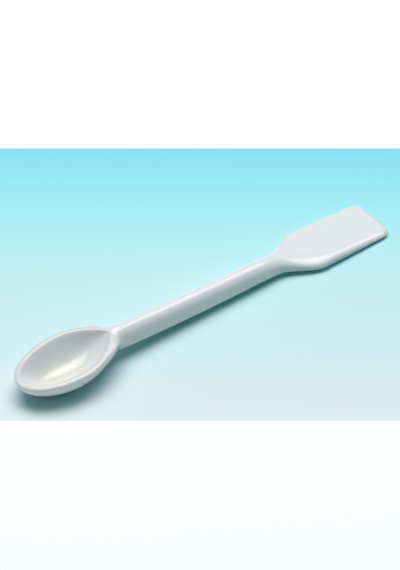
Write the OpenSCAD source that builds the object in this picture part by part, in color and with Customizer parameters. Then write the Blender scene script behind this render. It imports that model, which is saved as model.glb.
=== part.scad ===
// Double-ended laboratory spatula of glazed porcelain, in one piece:
// an egg-shaped spoon bowl with a rounded lip, an oval handle that sinks
// towards the table, and a flat blade behind a curved shoulder.
// Millimetres, +Z up. The length runs along X, from the tip of the spoon (-X)
// to the end of the blade (+X). The origin is on the table, under the middle.

/* [Overall] */
// Length from the tip of the spoon to the end of the blade
overall_l = 150; // [135:1:200]

/* [Spoon bowl] */
// Length of the bowl over its rim
bowl_l = 38.6; // [35:0.2:46]
// Width of the bowl over its rim
bowl_w = 23.4; // [20:0.1:30]
// Distance from the tip to the widest place of the rim
widest_x = 20.2; // [15:0.2:22]
// Height of the rim above the table at the tip
rim_tip_z = 8; // [7:0.1:10.5]
// Height of the rim above the table at the handle
rim_neck_z = 10.6; // [9.6:0.1:13]
// Distance from the rim's outer edge in to the crest of the lip
crest_in = 1.3; // [0.8:0.1:2.4]
// The same distance where the lip crosses to the handle
crest_end_in = 1.1; // [0.8:0.1:2.5]
// Height of the lip's crest above the rim's outer edge
lip_h = 0.8; // [0.5:0.1:1.5]
// Width of the level band between the lip's crest and the hollow
lip_band = 0.6; // [0.2:0.1:1.5]
// Pointedness of the rim towards the handle: 0.5 is an ellipse, 1 is a sharp point
rim_point = 0.8; // [0.55:0.05:0.95]
// Height of the bowl's floor above the table at its deepest place
floor_z = 2.1; // [1.4:0.1:3.5]
// Distance from the tip to the deepest place inside the bowl
pit_x = 14.4; // [12:0.2:19]
// Flatness of the hollow's floor from side to side
hollow_flat = 2.6; // [2:0.1:3.5]
// Softness of the bend from the lip into the hollow's side walls
hollow_soft = 1.7; // [1.2:0.1:2.6]
// Flatness of the hollow's floor from tip to handle
pit_flat = 2.3; // [2:0.1:3.5]
// Softness of the bend from the lip into the hollow's two ends
pit_soft = 1.1; // [1.1:0.1:2.2]
// Distance from the tip to the place where the bowl touches the table
keel_x = 18.4; // [12:0.2:19.4]
// How early the keel rises towards the handle: a lower value is earlier
keel_rise = 0.35; // [0.3:0.05:1.2]
// Fullness of the bowl's cross sections: 2 is an ellipse, more is squarer
fullness = 2.1; // [1.9:0.1:2.8]

/* [Neck] */
// How far before the end of the bowl the handle starts to widen its outline
neck_in = 13; // [8:0.2:18]
// How far past the end of the bowl the neck runs into the plain handle
neck_out = 6; // [4:0.2:12]
// Share of the neck that lies before the end of the bowl
neck_before = 0.6; // [0.3:0.05:0.9]
// Length of the slope from the lip down to the top of the handle
lip_slope = 3; // [2:0.1:5]
// Sharpness of the hollow between bowl and handle in plan
neck_hollow = 1.5; // [1.5:0.5:5]

/* [Handle] */
// Width of the handle at the neck
neck_w = 8.5; // [6.5:0.1:11]
// Thickness of the handle at the neck
neck_t = 8.1; // [6:0.1:9]
// Height of the handle's top at the neck
neck_z = 11.1; // [10.4:0.1:12.5]
// Width of the handle halfway along
mid_w = 8.3; // [6.5:0.1:11]
// Thickness of the handle halfway along
mid_t = 7.8; // [6:0.1:8.2]
// Height of the handle's top halfway along
mid_z = 8.9; // [8.6:0.1:10]
// Width of the handle just before the shoulder
wrist_w = 8.3; // [6.5:0.1:11]
// Thickness of the handle just before the shoulder
wrist_t = 6.6; // [5:0.1:7]
// Height of the handle's top just before the shoulder
wrist_z = 7.5; // [7.2:0.1:9]
// Share of the handle's thickness that lies below its widest line
handle_low = 0.32; // [0.2:0.02:0.6]

/* [Blade] */
// Length of the curved shoulder between handle and blade
shoulder_l = 16.2; // [12:0.2:22]
// Length of the blade past the shoulder
blade_l = 28.9; // [22:0.1:45]
// Width of the blade at the shoulder
blade_w = 20.5; // [14:0.1:28]
// Width of the blade at its end
blade_end_w = 19.6; // [12:0.1:28]
// Thickness of the blade at the shoulder
blade_t = 3.7; // [2.4:0.1:5]
// Thickness of the blade at its end
blade_end_t = 1.9; // [1.4:0.1:3]
// How far before the shoulder the top starts to sink to the blade
sink_in = 7.5; // [4:0.5:12]
// Length over which the top sinks to the blade
sink_l = 22; // [16:0.2:26]
// How far before the shoulder the edges start to form
trim_in = 1.2; // [0:0.2:6]
// Length over which the edges form
trim_l = 23.4; // [16:0.2:28]
// Width of the rounding along the blade's upper edges
edge_w = 2.7; // [1:0.1:3.5]
// How the upper edges turn over: 2 is an ellipse, less is more of a ridge
edge_bend = 1.7; // [1.2:0.1:2.5]
// Width of the rounding along the blade's lower edges
under_w = 1.8; // [0.8:0.1:2.5]
// Share of the blade's thickness that lies below its widest line
blade_low = 0.55; // [0.2:0.05:0.7]
// Radius of the blade's two corners
corner_r = 3.7; // [2:0.1:5]
// Length of the rounding at the blade's end
end_r = 1.6; // [0.8:0.1:2.5]

/* [Hidden] */

lip_end_x = bowl_l - crest_end_in;         // crest of the lip where it crosses the handle
blade_x = overall_l - blade_l;             // the shoulder ends and the blade starts
wrist_x = blade_x - shoulder_l;            // the handle ends and the shoulder starts
edges_x = wrist_x - trim_in + trim_l;      // the blade's edges have their full form
end_flat = 0.3;                            // share of the blade's end that stays a flat face

// Mesh lines: round the top from the middle to the edge, and round the underside
hollow_lines = 11;
side_lines = 5;
under_lines = 11;
top_lines = hollow_lines + side_lines;

// Stretches of stations along the length: start, end, number of stations
stretches = [
    [widest_x, bowl_l - 4*crest_end_in, 10],
    [bowl_l - 4*crest_end_in, bowl_l + lip_slope, 24],
    [bowl_l + lip_slope, bowl_l + neck_out + lip_slope, 9],
    [bowl_l + neck_out + lip_slope, wrist_x - sink_in, 8],
    [wrist_x - sink_in, edges_x, 18],
    [edges_x, overall_l - corner_r, 4]
];
tip_stations = 26;
corner_stations = 8;

function ease(t) = let (c = min(1, max(0, t))) c*c*(3 - 2*c);
function mix(a, b, t) = a + (b - a)*t;
function through(a, middle, b, t) = mix(a, b, t) + (middle - (a + b)/2)*4*t*(1 - t);
function quarter(t) = sqrt(max(0, 1 - t*t));

// The larger of a and b, with the change from one to the other rounded over a width d
function soft_max(a, b, d) = max(a, b) + pow(max(0, d - abs(a - b)), 2)/(4*d);

// Egg-shaped rim: y^rim_power(x) of the line that lies an inset inside the outer edge.
// The value is negative past the ends of that line.
function rim_power(x) = x < widest_x ? 2 : 1/rim_point;
function rim_value(x, inset) =
    let (
        half = bowl_w/2 - inset,
        run = x < widest_x ? widest_x - inset : bowl_l - widest_x - inset*crest_end_in/crest_in,
        r = (x - widest_x)/run
    )
    pow(half, rim_power(x))*(1 - r*r);
function rim_y(x, inset) = pow(max(0, rim_value(x, inset)), 1/rim_power(x));
function rim_z(x) = mix(rim_tip_z, rim_neck_z, min(x, lip_end_x)/bowl_l);

// Handle sizes run smoothly from the neck through the middle to the wrist
function handle_t(x) = (x - bowl_l)/(wrist_x - bowl_l);
function handle_half(x) = through(neck_w, mid_w, wrist_w, handle_t(x))/2;
function handle_top(x) = through(neck_z, mid_z, wrist_z, handle_t(x));
function handle_under(x) = handle_top(x) - through(neck_t, mid_t, wrist_t, handle_t(x));

// Blade sizes taper from the shoulder to the end
function blade_half(x) = mix(blade_w, blade_end_w, (x - blade_x)/blade_l)/2;
function blade_top(x) = mix(blade_t, blade_end_t, (x - blade_x)/blade_l);

// Shares of the shoulder, of the flat blade, of its edges and of the neck at x
function shoulder(x) = ease((x - wrist_x)/shoulder_l);
function flat(x) = ease((x - wrist_x + sink_in)/sink_l);
function trim(x) = ease((x - wrist_x + trim_in)/trim_l);
function neck(x) = ease((x - bowl_l)/neck_out + neck_before);

// Half width of the outline in plan
function corner(x) = corner_r*(1 - quarter(max(0, x - overall_l + corner_r)/corner_r));
function half_width(x) =
    let (
        grip = max(0, handle_half(x))*ease((x - bowl_l + neck_in)/neck_in),
        spoon = pow(rim_y(x, 0), neck_hollow) + pow(grip, neck_hollow)
    )
    mix(pow(spoon, 1/neck_hollow), blade_half(x), shoulder(x)) - corner(x);

// Height of the underside along the middle: the bowl's keel, then the handle, then flat
function keel(x) =
    x < keel_x
    ? (rim_z(x) - lip_h)*(1 - quarter((keel_x - x)/keel_x))
    : handle_under(bowl_l)*pow(ease((x - keel_x)/(bowl_l + neck_out - keel_x)), keel_rise);
function under_middle(x) =
    max(0, mix(keel(x), handle_under(x), ease((x - bowl_l)/neck_out))*(1 - flat(x)));

// Height of the top along the lip's crest, then along the middle of handle and blade
function bar_top(x) = mix(handle_top(x), blade_top(x), flat(x));
function crest_top(x) =
    x < crest_in ? rim_z(x) - lip_h + lip_h*quarter(1 - x/crest_in)
    : mix(rim_z(x), bar_top(x), ease((x - lip_end_x)/lip_slope));

// Height of the widest line of each cross section
function edge_z(x) =
    let (low = mix(handle_low, blade_low, trim(x)))
    mix(rim_z(x) - lip_h, mix(under_middle(x), bar_top(x), low), neck(x));

// Distance from the middle to the lip's crest: 0 where there is no bowl
function crest_y(x) = x < lip_end_x ? rim_y(x, crest_in) : 0;

// How much of the section's height is left near the blade's end
function end_height(x) =
    mix(end_flat, 1, quarter(max(0, x - overall_l + end_r)/end_r));

// Height of the hollow inside the lip's crest
function inside_z(x, y) =
    let (
        front = pit_x - crest_in - lip_band,
        back = lip_end_x - lip_band*crest_end_in/crest_in - pit_x,
        r = min(1, x < pit_x ? (pit_x - x)/front : (x - pit_x)/back),
        v = min(1, y/max(0.01, crest_y(x) - lip_band)),
        along = pow(1 - pow(r, pit_flat), pit_soft),
        across = pow(1 - pow(v, hollow_flat), hollow_soft)
    )
    rim_z(x) - (rim_z(x) - floor_z)*along*across;

// Height of the top and of the underside at x, y
function top_z(x, y) =
    let (
        half = half_width(x),
        round_y = mix(half - crest_y(x), min(edge_w, half), trim(x)),
        u = min(1, max(0, (y - half + round_y)/round_y)),
        bend = mix(2, edge_bend, trim(x)),
        low = edge_z(x)
    )
    y < crest_y(x)
    ? inside_z(x, y)
    : low + (crest_top(x) - low)*pow(1 - pow(u, bend), 1/bend)*end_height(x);
function under_z(x, y) =
    let (
        half = half_width(x),
        round_y = mix(half, min(under_w, half), trim(x)),
        u = min(1, max(0, (y - half + round_y)/round_y)),
        low = edge_z(x)
    )
    low - (low - under_middle(x))*pow(1 - pow(u, fullness), 1/fullness)*end_height(x);

// Distance from the middle of mesh line k on top: it follows the hollow and the lip,
// and spreads evenly over the sections that have no bowl
function top_y(x, k) =
    let (
        half = half_width(x),
        even = sin(90*k/top_lines),
        line = k <= hollow_lines ? crest_y(x)*sin(90*k/hollow_lines)
            : crest_y(x) > 0 ? mix(crest_y(x), half, sin(90*(k - hollow_lines)/side_lines))
            : 0
    )
    k == 0 ? 0
    : k == top_lines ? half
    : soft_max(line, even*half, half*min(0.08, 0.6*(1 - even)));
function under_y(x, k) = half_width(x)*sin(90*k/under_lines);

// One closed ring of points: over the top from +Y to -Y and back along the underside
function ring(x) = concat(
    [for (k = [top_lines:-1:0]) let (y = top_y(x, k)) [x, y, top_z(x, y)]],
    [for (k = [1:top_lines]) let (y = top_y(x, k)) [x, -y, top_z(x, y)]],
    [for (k = [under_lines - 1:-1:0]) let (y = under_y(x, k)) [x, -y, under_z(x, y)]],
    [for (k = [1:under_lines - 1]) let (y = under_y(x, k)) [x, y, under_z(x, y)]]
);

stations = concat(
    [for (i = [1:tip_stations - 1]) widest_x*(1 - cos(90*i/tip_stations))],
    [for (s = stretches) for (i = [0:s[2] - 1]) mix(s[0], s[1], i/s[2])],
    [for (i = [0:corner_stations]) overall_l - corner_r*(1 - sin(90*i/corner_stations))]
);
ring_size = 2*(top_lines + under_lines);

// Closed skin: a fan at the tip, two triangles for each cell between rings, and the end face
module loft() {
    tip = [0, 0, rim_z(0) - lip_h];
    points = concat([tip], [for (x = stations) each ring(x)]);
    last = 1 + (len(stations) - 1)*ring_size;
    nose = [for (j = [0:ring_size - 1]) [0, 1 + j, 1 + (j + 1)%ring_size]];
    sides = [
        for (i = [0:len(stations) - 2])
        for (j = [0:ring_size - 1])
        let (
            a = 1 + i*ring_size + j,
            b = 1 + i*ring_size + (j + 1)%ring_size,
            c = a + ring_size,
            d = b + ring_size
        )
        each j < top_lines || j >= 2*top_lines + under_lines
            ? [[a, d, b], [a, c, d]]
            : [[a, c, b], [b, c, d]]
    ];
    end = [[for (j = [ring_size - 1:-1:0]) last + j]];
    translate([-overall_l/2, 0, 0])
        polyhedron(points = points, faces = concat(nose, sides, end), convexity = 6);
}

module spatula() {
    color("#EDF0F0") loft();
}

spatula();
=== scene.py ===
# %% [markdown]
# # A glazed porcelain laboratory spatula
# This lesson dresses one small laboratory tool. It is a single piece of white
# porcelain with a spoon bowl at one end, an oval handle, and a flat blade at
# the other end. A maker casts it, fires it, dips it in clear glaze and fires
# it again, so there are no seams, screws or edges left on it: everything that
# the eye gets comes from smooth curves and from the gloss of the glaze.
#
# The lesson has four parts: the shape, the porcelain, the camera, and the table
# with the light above it.

# %% Load the measured model
import math

import bmesh
import bpy
from mathutils import Matrix, Vector


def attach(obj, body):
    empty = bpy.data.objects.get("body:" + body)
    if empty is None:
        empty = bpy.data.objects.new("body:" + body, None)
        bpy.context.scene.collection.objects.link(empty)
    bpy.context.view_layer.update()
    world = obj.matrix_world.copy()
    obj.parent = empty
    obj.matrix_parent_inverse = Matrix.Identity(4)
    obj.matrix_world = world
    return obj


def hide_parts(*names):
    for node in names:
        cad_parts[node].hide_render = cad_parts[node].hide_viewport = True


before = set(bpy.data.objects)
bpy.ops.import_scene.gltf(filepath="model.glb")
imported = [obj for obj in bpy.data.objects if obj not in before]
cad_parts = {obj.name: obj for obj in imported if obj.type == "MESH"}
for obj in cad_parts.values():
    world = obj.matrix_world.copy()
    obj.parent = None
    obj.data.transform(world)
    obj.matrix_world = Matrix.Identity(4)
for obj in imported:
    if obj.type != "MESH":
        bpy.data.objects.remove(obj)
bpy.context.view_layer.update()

# %% [markdown]
# ## The whole tool
# The measured model is made of flat facets. That is right for measuring and for
# physics, but gloss shows each facet as a broken reflection. The same curves are
# therefore drawn again here, with many more points. All sizes are in
# millimetres, as a maker would write them down, and `MM` turns them into
# Blender's metres at the end. `x` is the distance from the tip of the spoon,
# `y` the distance from the middle, and `z` the height above the table.
#
# The first sizes share out the length: the bowl (`bowl_l`), the handle, the
# shoulder (`shoulder_l`) and the blade (`blade_l`). In each name below, `_l` is
# a length, `_w` a width, `_t` a thickness, `_h` a height and `_r` a radius.

# %% Lengths along the tool
MM = 0.001
overall_l = 150.0
bowl_l, shoulder_l, blade_l = 38.6, 16.2, 28.9

blade_x = overall_l - blade_l
wrist_x = blade_x - shoulder_l
print("Handle from", bowl_l, "to", round(wrist_x, 1), "mm, blade from",
      round(blade_x, 1), "mm")

# %% [markdown]
# ## Five small curves
# Every line of the tool is built from five helpers. `ease` goes from 0 to 1 and
# is level at both ends, so a shape made with it starts and stops without a
# kink. `mix` is a straight blend, `through` bends a blend to pass a middle
# value, and `quarter` is a quarter of a circle. `soft_max` takes the larger of
# two values and rounds the place where they swap.

# %% The small curves
def ease(t):
    t = min(1.0, max(0.0, t))
    return t * t * (3 - 2 * t)


def mix(a, b, t):
    return a + (b - a) * t


def through(sizes, t):
    start, middle, end = sizes
    return mix(start, end, t) + (middle - (start + end) / 2) * 4 * t * (1 - t)


def quarter(t):
    return math.sqrt(max(0.0, 1 - t * t))


def soft_max(a, b, width):
    return max(a, b) + max(0.0, width - abs(a - b)) ** 2 / (4 * width)


print("ease at a quarter, half and three quarters:", [ease(t / 4) for t in (1, 2, 3)])

# %% [markdown]
# ## The rim of the bowl
# Seen from above, the rim is an egg that is widest at `widest_x`. Its front half
# is half an ellipse, which is a power of 2. Its back half is a sharper curve
# that ends in a soft point where the handle starts; the smaller `rim_point` is,
# the blunter the point. One formula with a power gives both halves. The same
# formula with an inset gives the crest of the lip, the line where the lip is
# highest. The crest lies `crest_in` inside the rim, and `crest_end_in` before
# the bowl's end. The rim also climbs from the tip to the neck.

# %% Rim lines
bowl_w, widest_x, rim_point = 23.4, 20.2, 0.8
rim_tip_z, rim_neck_z = 8.0, 10.6
crest_in, crest_end_in = 1.3, 1.1
lip_end_x = bowl_l - crest_end_in
ellipse = 2.0


def rim_power(x):
    return ellipse if x < widest_x else 1 / rim_point


def rim_value(x, inset):
    half = bowl_w / 2 - inset
    front = widest_x - inset
    back = bowl_l - widest_x - inset * crest_end_in / crest_in
    r = (x - widest_x) / (front if x < widest_x else back)
    return half ** rim_power(x) * (1 - r * r)


def rim_y(x, inset):
    return max(0.0, rim_value(x, inset)) ** (1 / rim_power(x))


def rim_z(x):
    return mix(rim_tip_z, rim_neck_z, min(x, lip_end_x) / bowl_l)


def crest_y(x):
    return rim_y(x, crest_in) if x < lip_end_x else 0.0


print("Half width of the rim at its widest place:", rim_y(widest_x, 0), "mm")

# %% [markdown]
# ## The handle along the length
# The handle is cast a little thinner towards the blade, and sinks from the height
# of the bowl's rim towards the table, where the blade lies. Each of its sizes is
# given at three places: at the neck, halfway and at the wrist, where the
# shoulder starts. `through` draws one smooth curve over the three.

# %% Handle lines
handle_w = (8.5, 8.3, 8.3)
handle_t = (8.1, 7.8, 6.6)
handle_z = (11.1, 8.9, 7.5)


def handle_share(x):
    return (x - bowl_l) / (wrist_x - bowl_l)


def handle_half(x):
    return through(handle_w, handle_share(x)) / 2


def handle_top(x):
    return through(handle_z, handle_share(x))


def handle_under(x):
    return handle_top(x) - through(handle_t, handle_share(x))


print("Lowest point of the handle's underside:",
      round(min(handle_under(x) for x in range(45, 100)), 2), "mm above the table")

# %% [markdown]
# ## From one part into the next
# Four shares, each from 0 to 1, say how far the shape has turned from one part
# into the next: `neck` from bowl to handle, `shoulder` from handle width to
# blade width, `flat` from the handle's height down to the flat blade, and `trim`
# from round sides to the blade's thin edges. `flat` starts `sink_in` before the
# wrist and takes `sink_l`, and `trim` does the same with `trim_in` and `trim_l`.
# `neck` takes `neck_out`, and the share `neck_before` of that length lies before
# the bowl's end.

# %% Shares along the length
neck_out, neck_before = 6.0, 0.6
sink_in, sink_l = 7.5, 22.0
trim_in, trim_l = 1.2, 23.4


def blade_share(x):
    return (x - blade_x) / blade_l


def neck(x):
    return ease((x - bowl_l) / neck_out + neck_before)


def shoulder(x):
    return ease((x - wrist_x) / shoulder_l)


def flat(x):
    return ease((x - wrist_x + sink_in) / sink_l)


def trim(x):
    return ease((x - wrist_x + trim_in) / trim_l)


print("Share of the blade's flatness at the wrist:", round(flat(wrist_x), 2))

# %% [markdown]
# ## The outline from above
# The outline joins three shapes. Over the last `neck_in` of the bowl the handle
# grows out of it: both half widths are raised to the power `neck_hollow`, added,
# and the root taken, which fills the corner between them with a hollow curve.
# The shoulder then spreads to the blade, which narrows slightly and ends in two
# rounded corners.

# %% Half width
neck_in, neck_hollow = 13.0, 1.5
blade_w, blade_end_w, corner_r = 20.5, 19.6, 3.7


def half_width(x):
    grip = max(0.0, handle_half(x)) * ease((x - bowl_l + neck_in) / neck_in)
    spoon = (rim_y(x, 0) ** neck_hollow + grip ** neck_hollow) ** (1 / neck_hollow)
    blade = mix(blade_w, blade_end_w, blade_share(x)) / 2
    corner = corner_r * (1 - quarter(max(0.0, x - overall_l + corner_r) / corner_r))
    return mix(spoon, blade, shoulder(x)) - corner


for x in (widest_x, bowl_l, 80.0, blade_x + 5):
    print("At", x, "mm the tool is", round(2 * half_width(x), 2), "mm wide")

# %% [markdown]
# ## The underside and the top from the side
# Under the bowl the underside is called the keel. It falls in a round curve from
# the tip to `keel_x`, the place that touches the table, and then rises into the
# handle; the smaller the power `keel_rise` is, the sooner it rises. The blade
# lies flat on the table and gets thinner towards its end. The top follows the
# crest of the lip, and goes over into the top of the handle within `lip_slope`.

# %% Heights along the middle
keel_x, keel_rise = 18.4, 0.35
lip_h, lip_slope = 0.8, 3.0
blade_t, blade_end_t = 3.7, 1.9


def keel(x):
    if x < keel_x:
        return (rim_z(x) - lip_h) * (1 - quarter((keel_x - x) / keel_x))
    rise = ease((x - keel_x) / (bowl_l + neck_out - keel_x))
    return handle_under(bowl_l) * rise ** keel_rise


def under_middle(x):
    height = mix(keel(x), handle_under(x), ease((x - bowl_l) / neck_out))
    return max(0.0, height * (1 - flat(x)))


def bar_top(x):
    return mix(handle_top(x), mix(blade_t, blade_end_t, blade_share(x)), flat(x))


def crest_top(x):
    if x < crest_in:
        return rim_z(x) - lip_h + lip_h * quarter(1 - x / crest_in)
    return mix(rim_z(x), bar_top(x), ease((x - lip_end_x) / lip_slope))


print("Top at the end of the lip and one slope later:",
      [round(crest_top(x), 2) for x in (lip_end_x, lip_end_x + lip_slope)], "mm")

# %% [markdown]
# ## The line where top and underside meet
# The widest line of the tool runs just under the lip, `lip_h` below its crest.
# On the handle it lies at `handle_low`, about a third of the way up, and on the
# blade at `blade_low`, about the middle. At the blade's end both faces round off
# over `end_r`, and `end_flat` is the share of the end that stays upright.

# %% Height of the widest line
handle_low, blade_low = 0.32, 0.55
end_r, end_flat = 1.6, 0.3


def edge_z(x):
    low = mix(handle_low, blade_low, trim(x))
    return mix(rim_z(x) - lip_h, mix(under_middle(x), bar_top(x), low), neck(x))


def end_height(x):
    return mix(end_flat, 1, quarter(max(0.0, x - overall_l + end_r) / end_r))


print("Widest line on the bowl, the handle and the blade:",
      [round(edge_z(x), 2) for x in (widest_x, 80.0, blade_x + 5)], "mm high")

# %% [markdown]
# ## The hollow of the bowl
# The inside of the bowl is one smooth hollow. It starts `lip_band` inside the
# crest, so the lip has a narrow level top. It is deepest at `pit_x`, where its
# floor lies `floor_z` above the table. It is the product of a curve along the
# bowl and a curve across it. Each has two powers: the first sets how flat its
# floor is, and the second how softly it meets the lip. `least_half` keeps the
# division safe where the hollow ends in a point.

# %% Height inside the bowl
floor_z, pit_x, lip_band = 2.1, 14.4, 0.6
pit_flat, pit_soft = 2.3, 1.1
hollow_flat, hollow_soft = 2.6, 1.7
least_half = 0.01


def inside_z(x, y):
    front = pit_x - crest_in - lip_band
    back = lip_end_x - lip_band * crest_end_in / crest_in - pit_x
    r = min(1.0, abs(x - pit_x) / (front if x < pit_x else back))
    v = min(1.0, y / max(least_half, crest_y(x) - lip_band))
    along = (1 - r ** pit_flat) ** pit_soft
    across = (1 - v ** hollow_flat) ** hollow_soft
    return rim_z(x) - (rim_z(x) - floor_z) * along * across


print("Depth of the bowl below its rim:",
      round(rim_z(pit_x) - inside_z(pit_x, 0), 2), "mm")

# %% [markdown]
# ## The cross sections
# Now the height of the surface can be told at any place. From the crest the lip
# rounds over into the outer wall. On the handle the section is an oval. On the
# blade it is a flat strip with rounded edges, because the width of the rounding
# shrinks from half the handle to `edge_w` on top and `under_w` underneath. The
# powers `edge_bend` and `fullness` say how full each rounding is.

# %% Height of the top and of the underside
edge_w, edge_bend = 2.7, 1.7
under_w, fullness = 1.8, 2.1


def rounding(x, y, round_y):
    return min(1.0, max(0.0, (y - half_width(x) + round_y) / round_y))


def top_z(x, y):
    if y < crest_y(x):
        return inside_z(x, y)
    half = half_width(x)
    u = rounding(x, y, mix(half - crest_y(x), min(edge_w, half), trim(x)))
    low, bend = edge_z(x), mix(ellipse, edge_bend, trim(x))
    return low + (crest_top(x) - low) * (1 - u ** bend) ** (1 / bend) * end_height(x)


def under_z(x, y):
    half = half_width(x)
    u = rounding(x, y, mix(half, min(under_w, half), trim(x)))
    low = edge_z(x)
    round_share = max(0.0, 1 - u ** fullness) ** (1 / fullness)
    return low - (low - under_middle(x)) * round_share * end_height(x)


print("Thickness in the middle of the bowl, the handle and the blade:",
      [round(top_z(x, 0) - under_z(x, 0), 2) for x in (pit_x, 80.0, blade_x + 5)], "mm")

# %% [markdown]
# ## The lines of the mesh
# A mesh shows a rounded lip best when its lines run along the lip. So the lines
# on top follow the hollow, the lip and the outer wall of the bowl, and
# `soft_max` hands them over to evenly spread lines on the handle and blade. The
# change is rounded over a small share of the half width, `handover`. Near the
# outline `handover_close` brings that share down to nothing, so no line crosses
# the outline.

# %% Mesh lines across the tool
hollow_lines, side_lines, under_lines = 24, 9, 26
top_lines = hollow_lines + side_lines
handover, handover_close = 0.08, 0.6


def quarter_turn(share):
    return math.sin(math.radians(90) * share)


def top_y(x, k):
    half = half_width(x)
    if k in (0, top_lines):
        return half * k / top_lines
    even = quarter_turn(k / top_lines)
    if k <= hollow_lines:
        line = crest_y(x) * quarter_turn(k / hollow_lines)
    else:
        share = quarter_turn((k - hollow_lines) / side_lines)
        line = mix(crest_y(x), half, share) if crest_y(x) > 0 else 0.0
    swap = half * min(handover, handover_close * (1 - even))
    return soft_max(line, even * half, swap)


def under_y(x, k):
    return half_width(x) * quarter_turn(k / under_lines)


print("Lines on each half, above and below:", top_lines, under_lines)

# %% [markdown]
# ## Where the cross sections stand
# Along the length, the cross sections are close together where the shape turns
# quickly: at the tip, in the soft point of the lip (`point_l`), and at the
# corners of the blade. Each stretch has a start, an end and a count. At the tip
# and at the corners the sections follow a quarter turn, so that round ends stay
# round.

# %% Stations
point_l = 4.4
point_x = bowl_l - point_l
lip_foot_x = bowl_l + lip_slope
sink_x = wrist_x - sink_in
edges_x = wrist_x - trim_in + trim_l
stretches = [
    (widest_x, point_x, 30),
    (point_x, lip_foot_x, 80),
    (lip_foot_x, lip_foot_x + neck_out, 26),
    (lip_foot_x + neck_out, sink_x, 36),
    (sink_x, edges_x, 60),
    (edges_x, overall_l - corner_r, 20),
]
tip_count, corner_count = 64, 22

stations = [widest_x * (1 - math.cos(math.radians(90) * i / tip_count))
            for i in range(1, tip_count)]
for start, end, count in stretches:
    stations += [mix(start, end, i / count) for i in range(count)]
stations += [overall_l - corner_r * (1 - quarter_turn(i / corner_count))
             for i in range(corner_count + 1)]
print(len(stations), "cross sections from", round(stations[0], 3), "to", stations[-1])

# %% [markdown]
# ## Thick and thin glaze, with painted shade and tint
# Glaze is liquid in the kiln. It runs off the lip and off the edges of the
# blade, where it is less glossy; there the body is also painted a little greyer,
# which is painted shade that dims the lamp's light on the lip. It gathers in the
# bowl, where it is a little darker, and its cream tint there is painted to
# cancel the blue-green room light on the bowl's walls. Each point of the mesh
# gets a number for that: -1 is thin glaze, 0 is even and 1 is thick.
# The material reads it later. Numbers kept on the mesh stay where they are put.

# %% Thickness of the glaze and painted tone at a point
# How far down the lip the glaze runs thin and is painted greyer as shade, and how deep
# in the bowl the cream tint against the room light starts.
thin_glaze_shaded_share = 0.6
cream_tint_start = 1 / 6


# The blade's edges and end, where the glaze runs thin; the material paints them greyer,
# as painted shade.
def thin_glaze_shaded_edge(x, y):
    edge = max(0.0, y - half_width(x) + end_r, x - overall_l + end_r) / end_r
    return ease(edge) * flat(x)


def glaze_and_painted_tone_on_top(x, y, z):
    below_crest = (rim_z(x) - z) / (thin_glaze_shaded_share * lip_h)
    # The lip, where the glaze runs thin; the material paints it greyer, as painted
    # shade on the lamp-lit lip.
    thin_glaze_shaded_lip = ease(1 - below_crest) * (1 - neck(x))
    depth = (rim_z(x) - lip_h - z) / (rim_z(x) - lip_h - floor_z)
    deep = (depth - cream_tint_start) / (1 - cream_tint_start)
    # The floor of the bowl, where the glaze gathers; the material makes it a little
    # darker and paints it cream, a tint that cancels the blue-green room light.
    thick_glaze_cream_tint = ease(deep) if y < crest_y(x) else 0.0
    return thick_glaze_cream_tint - max(thin_glaze_shaded_lip, thin_glaze_shaded_edge(x, y))


def glaze_and_painted_tone_underneath(x, y):
    return -thin_glaze_shaded_edge(x, y)


print("Glaze on the lip, in the bowl and on the handle:",
      [round(glaze_and_painted_tone_on_top(*p), 2) for p in (
          (widest_x, crest_y(widest_x), rim_z(widest_x)),
          (pit_x, 0.0, floor_z), (80.0, 0.0, handle_top(80.0)))])

# %% [markdown]
# ## One ring of points
# A ring is one cross section. It is worked out for the right half only: first
# the underside from the middle outwards, then the top from the edge back to the
# middle. The left half is its mirror, point for point, so the tool is exactly
# the same on both sides.

# %% Ring
def ring(x):
    top, under = [], []
    for y in [top_y(x, k) for k in range(top_lines + 1)]:
        z = top_z(x, y)
        top.append((y, z, glaze_and_painted_tone_on_top(x, y, z)))
    for y in [under_y(x, k) for k in range(under_lines)]:
        under.append((y, under_z(x, y), glaze_and_painted_tone_underneath(x, y)))
    right = under[1:] + top[::-1]
    left = [(-y, z, thickness_and_painted_tone) for y, z, thickness_and_painted_tone in top[1:] + under[::-1]]
    return [((x - overall_l / 2) * MM, y * MM, z * MM, thickness_and_painted_tone)
            for y, z, thickness_and_painted_tone in right + left]


print("Points in one ring:", len(ring(widest_x)))

# %% [markdown]
# ## The porcelain piece
# The tool could be modelled by hand from a box with a subdivision surface.
# A loft keeps closer to the measured curves: it sets one closed ring of points
# after another along the length, and joins each ring to the next with four
# sided faces. One point closes the tip, and one flat face closes the blade.

# %% Loft the spatula
def loft(name, tip_at, rings):
    mesh = bmesh.new()
    glaze_and_painted_tone = mesh.verts.layers.float.new("glaze_and_painted_tone")
    tip = mesh.verts.new(tip_at)
    rows = []
    for points in rings:
        row = []
        for x, y, z, thickness_and_painted_tone in points:
            vertex = mesh.verts.new((x, y, z))
            vertex[glaze_and_painted_tone] = thickness_and_painted_tone
            row.append(vertex)
        rows.append(row)
    count = len(rows[0])
    for j in range(count):
        after = (j + 1) % count
        mesh.faces.new((tip, rows[0][after], rows[0][j]))
        for a, b in zip(rows, rows[1:]):
            mesh.faces.new((a[j], a[after], b[after], b[j]))
    mesh.faces.new(rows[-1])
    bmesh.ops.recalc_face_normals(mesh, faces=mesh.faces)
    for face in mesh.faces:
        face.smooth = True
    data = bpy.data.meshes.new(name)
    mesh.to_mesh(data)
    mesh.free()
    piece = bpy.data.objects.new(name, data)
    bpy.context.collection.objects.link(piece)
    return piece


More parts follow.
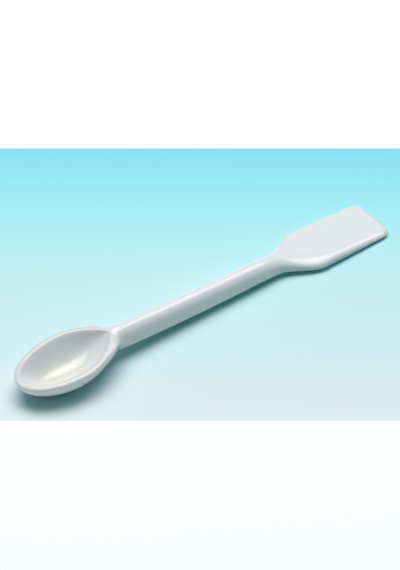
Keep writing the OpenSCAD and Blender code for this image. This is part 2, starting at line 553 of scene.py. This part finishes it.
tip_point = (-overall_l / 2 * MM, 0, (rim_z(0) - lip_h) * MM)
spatula = loft("porcelain_spatula", tip_point, [ring(x) for x in stations])
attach(spatula, "root")
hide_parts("spatula")
print("Points:", len(spatula.data.vertices), " faces:", len(spatula.data.polygons))

# %% [markdown]
# ## Helpers for materials
# Colours are easiest to judge as the hex values of a colour picker, but
# Blender's shaders work with linear light, so `colour` turns the first into the
# second. `add` adds a shader node, fills in its settings and links what feeds
# it. A socket goes by its name, with an underscore for a space, or by its
# number where several share a name: `_0` is the first. `new_material` gives an
# empty material, and `colour_steps` fills a colour ramp from a list of places
# and colours.

# %% Material helpers
def colour(hex_value):
    parts = [int(hex_value[i:i + 2], 16) / 255 for i in (1, 3, 5)]
    linear = [part / 12.92 if part <= 0.04045 else ((part + 0.055) / 1.055) ** 2.4
              for part in parts]
    return (*linear, 1.0)


def add(tree, kind, settings=None, **inputs):
    node = tree.nodes.new(kind)
    for name, value in (settings or {}).items():
        setattr(node, name, value)
    for name, value in inputs.items():
        number = name[1:]
        key = int(number) if number.isdigit() else name.replace("_", " ")
        if isinstance(value, bpy.types.NodeSocket):
            tree.links.new(value, node.inputs[key])
        else:
            node.inputs[key].default_value = value
    return node


def new_material(name):
    material = bpy.data.materials.new(name)
    material.use_nodes = True
    material.node_tree.nodes.clear()
    return material, material.node_tree


def colour_steps(ramp, steps):
    elements = ramp.color_ramp.elements
    elements[0].color, elements[1].color = colour(steps[0][1]), colour(steps[-1][1])
    for place, hex_value in steps[1:-1]:
        elements.new(place).color = colour(hex_value)


print("Mid grey #808080 in linear light:", round(colour("#808080")[0], 3))

# %% [markdown]
# ## Glazed porcelain
# Porcelain is a dense white clay body, and the glaze on it is a layer of clear
# glass about a fifth of a millimetre thick. The eye gets three things from
# it: a white, slightly translucent body, a sharp reflection with an index of
# refraction of 1.5, and small flaws. The flaws are what tell it from plastic:
# - the glaze settles in slow waves about 8 mm long, which bend a reflection,
# - it has finer ripples, like very weak orange peel, about 1.5 mm long.
#
# The body's colour follows the number on the mesh: it is painted greyer where
# the glaze is thin, as painted shade on the lip and the blade's edges, and cream
# in the bowl, painted to cancel the blue-green room light there. Clouds about
# 12 mm wide shift that number a little, because no dip is quite even. A noise
# lies around a half, so on average the clouds add half of their share.

# %% Porcelain: body colour with painted tone, and glaze thickness
cloud_size, cloud_share = 12 * MM, 0.5
thin_and_shaded, even, thick_and_tinted = [number + cloud_share / 2 for number in (-1, 0, 1)]

porcelain, tree = new_material("glazed_porcelain")
place = add(tree, "ShaderNodeTexCoord").outputs["Object"]
# The number on the mesh says where the body is painted greyer as shade and where it is
# painted cream against the room light.
thickness_and_painted_tone = add(tree, "ShaderNodeAttribute", {"attribute_name": "glaze_and_painted_tone"}).outputs["Fac"]
cloud = add(tree, "ShaderNodeTexNoise", Vector=place, Scale=1 / cloud_size, Detail=2.0)
drift = add(tree, "ShaderNodeMath", {"operation": "MULTIPLY_ADD"},
            _0=cloud.outputs["Fac"], _1=cloud_share, _2=thickness_and_painted_tone)
level = add(tree, "ShaderNodeMapRange", Value=drift.outputs[0],
            From_Min=thin_and_shaded, From_Max=thick_and_tinted)
body = add(tree, "ShaderNodeValToRGB", Fac=level.outputs[0])
# The first step is painted shade for thin glaze on the lip and the blade's edges; the
# last is darker thick glaze with a cream tint painted to cancel the blue-green room
# light.
colour_steps(body, [(0.0, "#D8D9D7"), (0.5, "#E8E9EB"), (1.0, "#DCDBD3")])
print("Body colour steps:", len(body.color_ramp.elements))

# %% [markdown]
# ## Waves, ripples and gloss
# Waves and ripples only tilt the surface, so they go into the normal and not
# into the mesh. The waves are 0.06 mm high and the ripples 0.004 mm. The gloss
# is lower where the glaze lies thin. A little light enters the body and comes
# out within `light_depth`, which softens the edge of each shadow on it.

# %% Porcelain: waves, ripples and gloss
wave_l, wave_h = 8 * MM, 0.06 * MM
ripple_l, ripple_h = 1.5 * MM, 0.004 * MM
thin_roughness, glaze_roughness = 0.2, 0.09
light_depth = 0.8 * MM

waves = add(tree, "ShaderNodeTexNoise", Vector=place, Scale=1 / wave_l, Detail=1.0)
wavy = add(tree, "ShaderNodeBump", Height=waves.outputs["Fac"], Strength=1.0,
           Distance=wave_h)
ripples = add(tree, "ShaderNodeTexNoise", Vector=place, Scale=1 / ripple_l, Detail=2.0)
rippled = add(tree, "ShaderNodeBump", Height=ripples.outputs["Fac"], Strength=1.0,
              Distance=ripple_h, Normal=wavy.outputs["Normal"])
gloss = add(tree, "ShaderNodeMapRange", Value=drift.outputs[0], From_Min=thin_and_shaded,
            From_Max=even, To_Min=thin_roughness, To_Max=glaze_roughness)
glazed = add(tree, "ShaderNodeBsdfPrincipled",
             Base_Color=body.outputs["Color"], Roughness=gloss.outputs[0], IOR=1.5,
             Normal=rippled.outputs["Normal"],
             Subsurface_Weight=0.15, Subsurface_Radius=(1.0, 0.9, 0.8),
             Subsurface_Scale=light_depth)
add(tree, "ShaderNodeOutputMaterial", Surface=glazed.outputs["BSDF"])
spatula.data.materials.append(porcelain)
print("Nodes in the porcelain material:", len(tree.nodes))

# %% [markdown]
# ## The camera
# A long lens from over a metre away shows a small tool without stretching
# its near end. The camera looks down at about 42 degrees, with the bowl
# near and the blade far. Its three directions are worked out from the two
# angles, so the picture stays level. It looks at `aim`, a point on the table
# near the middle of the tool. From here on, distances are in metres.

# %% Camera
camera_up, camera_turn = math.radians(42.08), math.radians(37.13)
camera_far = 1.255
aim = Vector((0.006854, 0.009646, 0))

across = Vector((math.cos(camera_turn), -math.sin(camera_turn), 0))
away = Vector((math.sin(camera_turn), math.cos(camera_turn), 0))
straight_up = Vector((0, 0, 1))
view = away * math.cos(camera_up) - straight_up * math.sin(camera_up)
up = away * math.sin(camera_up) + straight_up * math.cos(camera_up)

camera_data = bpy.data.cameras.new("camera")
camera_data.sensor_width = 36
camera_data.lens = 233.7
camera_data.clip_end = 20
camera = bpy.data.objects.new("camera", camera_data)
camera.matrix_world = Matrix.Translation(aim - view * camera_far) @ Matrix(
    (across, up, -view)).transposed().to_4x4()
bpy.context.collection.objects.link(camera)
bpy.context.scene.camera = camera
print("Camera at", [round(v, 3) for v in camera.matrix_world.translation])

# %% [markdown]
# ## The table
# The tool lies on a strip of coloured card, 0.14 m deep, on a white table. The
# card is blue-green at the back and nearly white in front. One large plane does
# for both, because card is thin. Its colour runs along the ground in a fixed
# direction: a mapping turns the ground coordinates that way and a ramp does
# the rest. The ramp reaches from `fade_near` in front of the aim to `fade_far`
# behind it, and is white outside the card. The card is matt, so it takes a
# shadow and gives no mirror image.

# %% Table top
table_w = 6.0
fade_near, fade_far = 0.070, 0.080


def plane(name, size):
    mesh = bpy.data.meshes.new(name)
    s = size / 2
    corners = [(-s, -s, 0), (s, -s, 0), (s, s, 0), (-s, s, 0)]
    mesh.from_pydata(corners, [], [(0, 1, 2, 3)])
    piece = bpy.data.objects.new(name, mesh)
    bpy.context.collection.objects.link(piece)
    return piece


table = plane("table_top", table_w)

card, tree = new_material("matt_card")
ground = add(tree, "ShaderNodeTexCoord").outputs["Object"]
turned = add(tree, "ShaderNodeMapping", Vector=ground, Rotation=(0, 0, camera_turn))
along = add(tree, "ShaderNodeSeparateXYZ", Vector=turned.outputs[0])
aim_along = aim.dot(away)
share = add(tree, "ShaderNodeMapRange", Value=along.outputs["Y"],
            From_Min=aim_along - fade_near, From_Max=aim_along + fade_far)
fade = add(tree, "ShaderNodeValToRGB", Fac=share.outputs[0])
colour_steps(fade, [(0.0, "#FFFFFF"), (0.025, "#FFFFFF"), (0.028, "#DEEDF0"),
                    (0.19, "#D4EAED"), (0.45, "#C4EAED"), (0.59, "#B7E9ED"),
                    (0.73, "#A3E7ED"), (0.946, "#86DDEB"), (0.949, "#FFFFFF"),
                    (1.0, "#FFFFFF")])
top = add(tree, "ShaderNodeBsdfPrincipled", Base_Color=fade.outputs["Color"],
          Roughness=0.9, Specular_IOR_Level=0.1)
add(tree, "ShaderNodeOutputMaterial", Surface=top.outputs["BSDF"])
table.data.materials.append(card)
print("Table", table.dimensions[0], "m wide")

# %% [markdown]
# ## The lamp
# One large soft lamp hangs overhead and a little behind the tool. It makes
# the long streak on the handle, the bright line along the blade and the broad
# patch in the bowl. A reflection shows how large a lamp looks and not how far
# it is, so the lamp is described by angles, as seen from the tool, and its size
# in metres follows from its distance. Its power is its brightness times pi
# times its area.

# %% A soft lamp
lamp_far = 2.0


def soft_lamp(name, high, side, height, width, radiance, tint):
    level = away * math.cos(high) + straight_up * math.sin(high)
    toward = level * math.cos(side) + across * math.sin(side)
    flat_side = across * math.cos(side) - level * math.sin(side)
    light = bpy.data.lights.new(name, "AREA")
    light.shape = "RECTANGLE"
    light.size = 2 * lamp_far * math.tan(width / 2)
    light.size_y = 2 * lamp_far * math.tan(height / 2)
    light.energy = radiance * math.pi * light.size * light.size_y
    light.color = colour(tint)[:3]
    lamp = bpy.data.objects.new(name, light)
    lamp.matrix_world = Matrix.Translation(aim + toward * lamp_far) @ Matrix(
        (flat_side, toward.cross(flat_side), toward)).transposed().to_4x4()
    bpy.context.collection.objects.link(lamp)
    return lamp


overhead = soft_lamp("overhead_softbox", high=math.radians(70), side=math.radians(-2),
                     height=math.radians(44), width=math.radians(62), radiance=8.05,
                     tint="#FFF2F3")
print("Lamp", round(overhead.data.size, 2), "m wide,",
      round(overhead.data.energy, 1), "W")

# %% [markdown]
# ## A lamp that is brighter in the middle
# A softbox has its bulb behind the middle of its cloth, so it is dimmer towards
# its edges, and its reflection fades out instead of ending in a line. Nodes on
# the lamp do that. Its `Parametric` coordinate runs from 0 to 1 across it, in
# both directions. Each is turned into 1 in the middle and 0 at the edge, and the
# product of the two sets the strength, from `edge_share` up to 1.

# %% Brighter middle
def brighter_middle(light, edge_share):
    light.use_nodes = True
    tree = light.node_tree
    tree.nodes.clear()
    spot = add(tree, "ShaderNodeNewGeometry").outputs["Parametric"]
    apart = add(tree, "ShaderNodeSeparateXYZ", Vector=spot)
    fades = []
    for axis in ("X", "Y"):
        centred = add(tree, "ShaderNodeMath", {"operation": "MULTIPLY_ADD"},
                      _0=apart.outputs[axis], _1=2.0, _2=-1.0)
        outward = add(tree, "ShaderNodeMath", {"operation": "ABSOLUTE"},
                      _0=centred.outputs[0])
        inward = add(tree, "ShaderNodeMapRange", {"interpolation_type": "SMOOTHSTEP"},
                     Value=outward.outputs[0], From_Min=1.0, From_Max=0.0)
        fades.append(inward.outputs[0])
    core = add(tree, "ShaderNodeMath", {"operation": "MULTIPLY"},
               _0=fades[0], _1=fades[1])
    strength = add(tree, "ShaderNodeMapRange", Value=core.outputs[0],
                   To_Min=edge_share, To_Max=1.0)
    glow = add(tree, "ShaderNodeEmission", Strength=strength.outputs[0])
    add(tree, "ShaderNodeOutputLight", Surface=glow.outputs[0])


brighter_middle(overhead.data, edge_share=0.4)
print("Nodes in the lamp:", len(overhead.data.node_tree.nodes))

# %% [markdown]
# ## The room
# The room around is dim and blue-green, with more light from above than from
# the sides. That tints the side of the handle that the lamp doesn't reach, and
# keeps the shadow under the tool deep. The world's `Generated` coordinate is the
# direction that the light comes from, so its Z is the sine of the height above
# the horizon. The light rises from `room_side` to `room_above` between the two
# heights.

# %% Surroundings
room_side, room_above = 0.01, 0.18
dim_below, full_above = math.radians(15), math.radians(35)

world = bpy.data.worlds.new("surroundings")
world.use_nodes = True
tree = world.node_tree
tree.nodes.clear()
direction = add(tree, "ShaderNodeTexCoord").outputs["Generated"]
climb = add(tree, "ShaderNodeSeparateXYZ", Vector=direction)
ceiling = add(tree, "ShaderNodeMapRange", Value=climb.outputs["Z"],
              From_Min=math.sin(dim_below), From_Max=math.sin(full_above),
              To_Min=room_side, To_Max=room_above)
air = add(tree, "ShaderNodeBackground", Color=colour("#18FAFF"),
          Strength=ceiling.outputs[0])
add(tree, "ShaderNodeOutputWorld", Surface=air.outputs[0])
bpy.context.scene.world = world
bpy.context.scene.view_settings.view_transform = "Standard"
print("Room light, from the sides and from above:", room_side, room_above)
